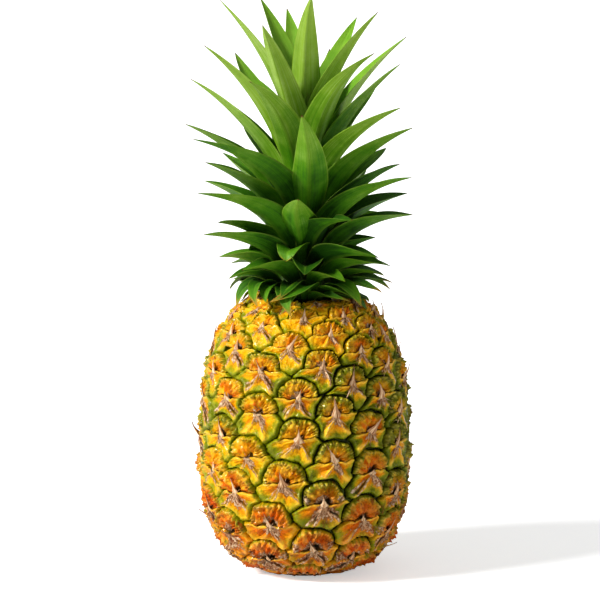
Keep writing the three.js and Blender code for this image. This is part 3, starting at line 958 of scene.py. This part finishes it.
# Length, width, rise, fall, twist, split and fray of each kind, with its rows of points.
TIPS = (
    (11.5, 6.0, 0.34, 0.3, 0.3, 0, 0.6, 11), (13.0, 5.4, 0.28, 0.27, -0.5, 0.22, 1.0, 11),
    (10.5, 6.6, 0.4, 0.38, 0.6, -0.2, 0.8, 11), (6.0, 6.4, 0.55, 0.4, -0.3, 0.5, 1.6, 9),
    (12.0, 4.8, 0.3, 0.2, 0.9, -0.3, 1.2, 11), (3.5, 6.0, 0.5, 0.3, 0.2, -0.6, 1.8, 7),
)
TIP_SHARES = (0.24, 0.2, 0.18, 0.12, 0.18, 0.08)
STRIPS = (
    (6.0, 1.8, 0.12, 0.2, 0.8, 0, 0.3, 5), (7.5, 1.5, 0.06, 0.14, -1.0, 0.3, 0.3, 5),
    (4.5, 2.2, 0.2, 0.3, 0.5, -0.3, 0.5, 5), (9.0, 1.3, 0.1, 0.16, 0.4, -0.2, 0.3, 6),
)


def bract_tips():
    """The dry tip of each bract, standing over the cap of its eye."""
    rows = []
    for eye in np.nonzero(EYE_LENGTH > 6)[0]:
        at, right, up, out = eye_frame(eye, 0.0, -1.2, 0.3)
        along, across = leaning(up, right, 0.22 * chance.normal() + 0.05)
        lift = 0.1 * chance.normal() + (0.6 if chance.uniform() < 0.3 else 0.05)
        belly = 1 - smooth(EYE_LENGTH[eye], 5, 45)  # where the tips are short and follow the curve
        along, out = leaning(along, out, lift * (1 - belly) - 0.22 * belly)
        size = EYE_SIZE[eye] / BROAD_EYE * chance.uniform(0.85, 1.15)
        size = size * (1 - 0.15 * LOWNESS[eye]) * (1 - 0.3 * belly)
        rows.append((at, across, along, out, size, int(chance.choice(len(TIPS), p=TIP_SHARES))))
    return scattered("bract_tips", [blade(*tip, columns=6) for tip in TIPS], rows)


def dry_strips():
    """Frayed dry strips round the foot of each tip, along the lip and down the ridges."""
    rows = []
    for eye in range(EYES):
        for strip_number in range(int(8 + 12 * LOWNESS[eye] + chance.integers(0, 6))):
            below = chance.uniform() < 0.72  # on the bract rather than on the cap
            heading = (math.pi if below else 0) + chance.uniform(-1.15, 1.15)
            away = chance.uniform(0.2, 1.8) + 1.2 * (not below)
            longest = strip_number < 3
            if longest:  # these lie along the two ridges
                below = True
                heading = math.pi + (0.62, -0.58)[strip_number % 2] + 0.12 * chance.normal()
                away = chance.uniform(2.0, 3.6)
            height = 1.25 - 0.2 * away if below else 0.2
            x, y = away * math.sin(heading), away * math.cos(heading) - 0.7
            at, right, up, out = eye_frame(eye, x, y, height)
            along, across = leaning(up, right, heading)
            if at[2] < 7 or at[2] + 9 * along[2] < 1:  # it would reach the floor
                continue
            size = EYE_SIZE[eye] / BROAD_EYE * chance.uniform(0.5, 1.05) * (1 if below else 0.6)
            size = size * (1.15 if longest else 0.9) * (1 + min(0, out[2]))  # shorter under the belly
            rows.append((at, across, along, out, size, int(chance.integers(0, len(STRIPS)))))
    return scattered("dry_strips", [blade(*shape, columns=3) for shape in STRIPS], rows)


# ---------------------------------------------------------------- crown

LEAF_GREEN = leaf_material()
LEAF_ROWS = 34
LEAF_COLUMNS = 11
LEAF_SEED = 500


def leaf_plan(number):
    """Where a leaf grows from and reaches to. Numbers under FIRST_LEAF are the short leaves at the
    foot."""
    u = max(number, 0) / LAST_LEAF
    below = min(number, 0)
    sweep, reach, rise, *arch = LEANING.get(number, (0, 0, 0))
    tip_radius = 47 + 28 * math.sin(math.pi * min(u, 1) ** 1.6) + reach
    return {
        "azimuth": FIRST_AZIMUTH - math.degrees(GOLDEN) * number,
        "sweep": sweep,
        "root": np.array([STEM_RADIUS - 0.5 - 13.5 * u, FRUIT_TOP + 2.5 + 55 * u**1.2 + 0.2 * below]),
        "tip": np.array([tip_radius, 168.6 + 101.3 * u + 79.9 * u * u + 0.5 * below + rise]),
        "width": float(15 + 8 * smooth(u, 0, 0.3) - 3.5 * smooth(u, 0.6, 1.0)),
        "bow": 0.1 + 0.05 * (1 - u) ** 2 + sum(arch),
        "fold": 0.75,
    }


def leaf(name, number, plan, wither=0.0, hook=0.0):
    """A channelled leaf as a closed body: an arched midline, raised margins, a keel and a long
    point. hook is how far the end curls down, in millimetres."""
    own = np.random.default_rng(LEAF_SEED + number)
    phase = own.uniform(0, TURN, 4)
    chord = plan["tip"] - plan["root"]
    control = plan["root"] + 0.5 * chord + 2 * plan["bow"] * np.array([-chord[1], chord[0]])
    t = 1 - (1 - np.linspace(0, 1, LEAF_ROWS)) ** 1.25
    r, z = (
        (1 - t) ** 2 * start + 2 * t * (1 - t) * pull + t**2 * end
        for start, pull, end in zip(plan["root"], control, plan["tip"])
    )
    z = z - hook * smooth(t, 0.55, 1.0) ** 2 + 0.5 * np.sin(5 * t + phase[0]) * t * (1 - t) * 2
    r = r - 0.45 * hook * smooth(t, 0.8, 1.0)
    sway = 1.2 * np.sin(4 * t + phase[1]) * t * (1 - t)
    azimuth = np.radians(plan["azimuth"] + plan["sweep"] * t * t + sway)
    middle = np.stack([r * np.sin(azimuth), -r * np.cos(azimuth), z], -1)
    ahead = np.gradient(middle, axis=0)
    ahead /= np.linalg.norm(ahead, axis=1)[:, None]
    side = -np.stack([np.cos(azimuth), np.sin(azimuth), np.zeros(len(t))], -1)
    side -= ahead * (side * ahead).sum(1)[:, None]
    side /= np.linalg.norm(side, axis=1)[:, None]
    inner = np.cross(side, ahead)
    roll = np.radians(6) * own.normal() * np.minimum(1, 1.5 * t)[:, None]
    side, inner = side * np.cos(roll) + inner * np.sin(roll), inner * np.cos(roll) - side * np.sin(roll)
    share = (0.62 + 0.38 * smooth(t, 0, 0.4)) * (1 - t**3.3)  # of the leaf's width
    half = 0.5 * plan["width"] * share
    thin = np.minimum(1, 0.15 + share)[:, None]
    x = np.sin(np.linspace(-1, 1, LEAF_COLUMNS) * math.pi / 2)
    wave = 0.35 * np.sin(13 * t + phase[2])[:, None] * x**2 * np.sign(x)
    wave = wave + 0.3 * np.sin(9 * t + phase[3])[:, None] * x**2
    depth = plan["fold"] * (1 - 0.5 * smooth(t, 0.3, 0.95))
    rise = (depth * half)[:, None] * np.abs(x) ** 1.08 + wave * (share * t)[:, None]
    thick = thin * (0.09 + 0.66 * (1 - np.abs(x) ** 0.9))
    points = []
    for up, spread in ((rise + thick, 0.985), (rise - thick - 0.5 * thin * bump(x, 0, 0.16), 1.0)):
        across = half[:, None] * x * spread
        grid = middle[:, None] + side[:, None] * across[..., None] + inner[:, None] * up[..., None]
        points.append(grid[:-1].reshape(-1, 3))
    points = np.concatenate([*points, middle[-1:]])
    rows = LEAF_ROWS - 1
    along = np.concatenate([np.repeat(t[:-1], LEAF_COLUMNS)] * 2 + [[1.0]])
    across = np.concatenate([np.tile(x, rows)] * 2 + [[0.0]])
    u = max(number, 0) / LAST_LEAF
    youth_and_base_shade = 0.1 + 0.06 * (1 - smooth(u, 0.0, 0.4)) + 0.84 * u**3 - 0.08 * (number < FIRST_LEAF)
    # Darker towards each leaf's base: painted shade where the leaves crowd together.
    youth_and_base_shade = youth_and_base_shade + (0.5 - 0.12 * smooth(u, 0.0, 0.3)) * smooth(along, 0.3, 0.95) + 0.12 * own.normal()
    withered = wither * smooth(along, 0.74, 0.99) + 0.4 * wither * (np.abs(across) > 0.8) * along
    piece = new_piece(name, points, sheet_faces(rows, LEAF_COLUMNS, pointed=True), LEAF_GREEN, {
        "along": along, "across": across, "inner": np.repeat([1, 0, 0.5], [rows * LEAF_COLUMNS] * 2 + [1]),
        "youth_and_base_shade": np.clip(youth_and_base_shade, 0, 1), "shade": np.full(len(points), own.uniform(0, 9)),
        "wither": np.clip(withered, 0, 1),
    })
    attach(piece, "root")
    return piece


LOWEST_LEAF = -28
HEART_LEAVES = 7


def crown():
    """The long leaves that the CAD model has too, the short ones over the fruit's shoulder, two
    short curled ones and the small ones in the heart."""
    for number in range(FIRST_LEAF, LAST_LEAF + 1):
        if number not in MISSING_LEAVES:
            piece = leaf(f"crown_leaf_{number}", number, leaf_plan(number))
            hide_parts(f"leaf_{number}")
    for number in range(LOWEST_LEAF, FIRST_LEAF):
        plan = leaf_plan(number)
        share, least = smooth(-number, -9, 8), smooth(-number, 17, 28)
        plan["bow"] += 0.1 * share + 0.05 * chance.normal() * share
        plan["tip"][0] += share + 3 * share * chance.normal() - 9 * least
        rise = plan["tip"][1] - 0.5 * min(number, 0) - 2 * share - 2 * least
        plan["tip"][1] = rise + 3 * share * chance.normal()
        plan["sweep"] += 14 * share * chance.normal()
        plan["width"] *= 0.95 - 0.15 * share - 0.2 * least + 0.1 * chance.normal()
        plan["fold"] = 0.5
        hook = 1 + share * chance.uniform(-6, 4)
        wither = 0.35 + 0.4 * share * chance.uniform()
        leaf(f"shoulder_leaf_{number - LOWEST_LEAF}", number, plan, wither, hook)
    for number in SHORT_LEAVES:
        plan = leaf_plan(number)
        plan.update(tip=0.5 * (plan["tip"] + plan["root"]), bow=0.2)
        leaf(f"short_leaf_{number}", number, plan, 0.5, 6)
    for number in range(LAST_LEAF + 1, LAST_LEAF + HEART_LEAVES + 1):
        share = (number - LAST_LEAF) / (HEART_LEAVES + 1)
        root = np.array([3.2 - 1.5 * share, FRUIT_TOP + 54 + 6 * share])
        tip = np.array([13 - 9 * share, FRUIT_TOP + 118 - 40 * share])
        plan = dict(leaf_plan(number), root=root, tip=tip, width=11 - 4 * share)
        leaf(f"heart_leaf_{number}", number, plan)


# ---------------------------------------------------------------- build

FLESHES = {  # ripening, greening, streaks round the eye and how fibrous it is
    "cap": (
        {0.0: "eaaa08", 0.3: "dc8806", 0.6: "da7004", 1.0: "cc5a06"},
        {0.15: "c29c06", 0.45: "9e9204", 0.75: "707c04", 1.0: "445602"}, 26.0, 0.25,
    ),
    "bract": (
        {0.0: "f6b60a", 0.3: "ec9c06", 0.6: "e67c04", 1.0: "da6a06"},
        {0.15: "d0ac08", 0.45: "aca206", 0.75: "7a8c06", 1.0: "466402"}, 22.0, 0.8,
    ),
}
cap_flesh, bract_flesh = (eye_flesh(part + " flesh", *looks) for part, looks in FLESHES.items())
rind_core = core(skin_material())
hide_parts("fruit_body")
rind = [rind_core, bract_tips(), dry_strips()]
is_lower = EYE_LENGTH < np.median(EYE_LENGTH)
for half, eyes in (("lower", np.nonzero(is_lower)[0]), ("upper", np.nonzero(~is_lower)[0])):
    for part, grow, flesh in (("caps", cap, cap_flesh), ("bracts", bract, bract_flesh)):
        rind.append(merged(f"eye_{part}_{half}", [grow(eye) for eye in eyes], flesh))
for piece in rind:
    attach(piece, "root")
crown()
for name, material in (("crown_stem", stem_material()), ("stalk_stub", cut_material())):
    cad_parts[name].data.materials.clear()
    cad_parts[name].data.materials.append(material)


# ---------------------------------------------------------------- studio

FLOOR_REACH = 15000
FLOOR_GLOW = 0.42  # bright to look at, dim as a lamp
SKY_STRENGTH = 0.31
SUNS = {  # strength, degrees across and direction
    "key": (3.5, 14, (0.88, 0.41, -0.64)), "fill": (0.22, 40, (-0.8, 0.5, -0.3)),
}
VIEW_ANGLE = math.radians(10)  # how far the camera looks down
VIEW_DISTANCE = 2.5
VIEW_WIDTH = 0.354  # metres that the view is across at the fruit's axis
VIEW_CENTRE = Vector((-0.0027, 0, 0.1616))
WHITE = (1, 1, 1, 1)


def aim(thing, direction):
    thing.rotation_euler = direction.to_track_quat("-Z", "Y").to_euler()


def studio():
    """A wide pale floor, an even sky and one soft key light from the upper left of the front."""
    finish = {"Base_Color": (0.92, 0.92, 0.92, 1), "Emission_Color": WHITE}
    material, g, shader = new_material("pale floor", Roughness=0.9, **finish)
    seen = g.node("ShaderNodeLightPath").outputs["Is Camera Ray"]
    g.feed(shader.inputs["Emission Strength"], g.times(seen, FLOOR_GLOW))
    corners = [(x * FLOOR_REACH, y * FLOOR_REACH, 0) for x, y in ((-1, -1), (1, -1), (1, 1), (-1, 1))]
    floor = new_piece("floor", corners, [(0, 1, 2, 3)], material)
    scene = bpy.context.scene
    scene.world = bpy.data.worlds.new("studio")
    scene.world.use_nodes = True
    sky = scene.world.node_tree.nodes["Background"].inputs
    sky["Color"].default_value = WHITE
    sky["Strength"].default_value = SKY_STRENGTH
    for name, (strength, angle, direction) in SUNS.items():
        light = bpy.data.lights.new(name, "SUN")
        light.energy = strength
        light.angle = math.radians(angle)
        aim(new_object(name, light), Vector(direction))
    scene.view_settings.view_transform = "Standard"
    scene.view_settings.look = "Medium High Contrast"


def camera():
    data = bpy.data.cameras.new("camera")
    data.sensor_width = 36
    data.lens = data.sensor_width * VIEW_DISTANCE / VIEW_WIDTH
    data.clip_end = 100
    back = Vector((0, -math.cos(VIEW_ANGLE), math.sin(VIEW_ANGLE)))
    bpy.context.scene.camera = new_object("camera", data)
    bpy.context.scene.camera.location = VIEW_CENTRE + back * VIEW_DISTANCE
    aim(bpy.context.scene.camera, -back)


studio()
camera()

bpy.context.view_layer.update()
